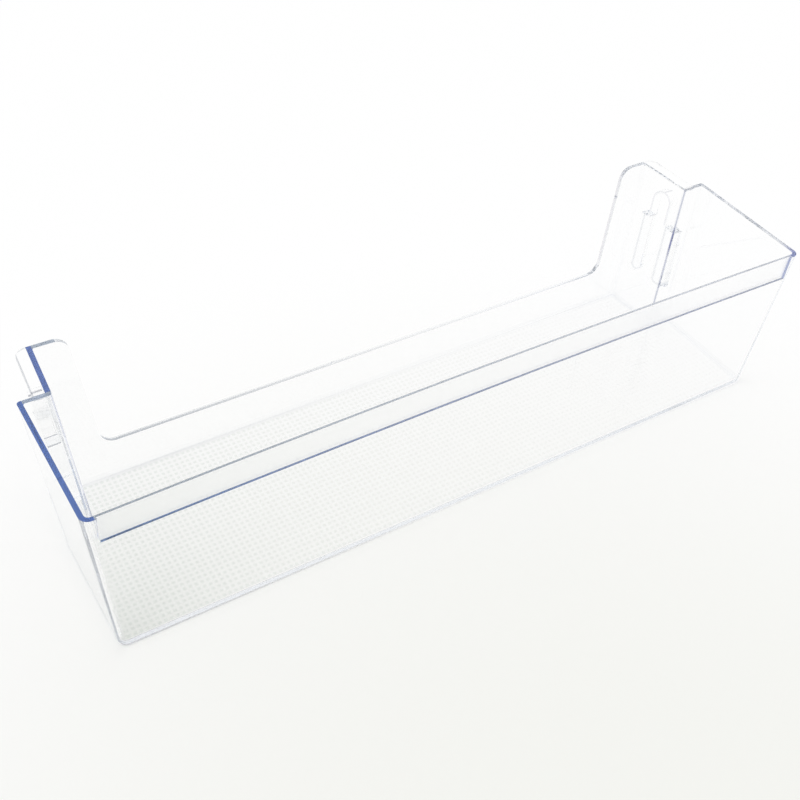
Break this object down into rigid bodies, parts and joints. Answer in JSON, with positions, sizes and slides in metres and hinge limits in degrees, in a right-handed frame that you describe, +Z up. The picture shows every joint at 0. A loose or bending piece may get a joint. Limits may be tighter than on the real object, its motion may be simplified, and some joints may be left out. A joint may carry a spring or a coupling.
{
  "type": "fridge bottle shelf",
  "caption": "Long clear plastic door shelf for bottles, with stepped ends, a low back between two ears, a sunk trim band along the front and arched channels to hang it by.",
  "frame": {"origin": "middle of the shelf's box in plan, on the underside of its floor", "axes": "+X along the shelf to the right as seen from the front, +Y towards the door that it hangs on, +Z up"},
  "size_m": [0.48, 0.1314, 0.108],
  "materials": {
    "clear_plastic": "clear, glossy, with a blue tint along the cut edges and a satin band along the front"
  },
  "bodies": {
    "root": {"bottle_shelf": "clear_plastic"}
  },
  "joints": []
}
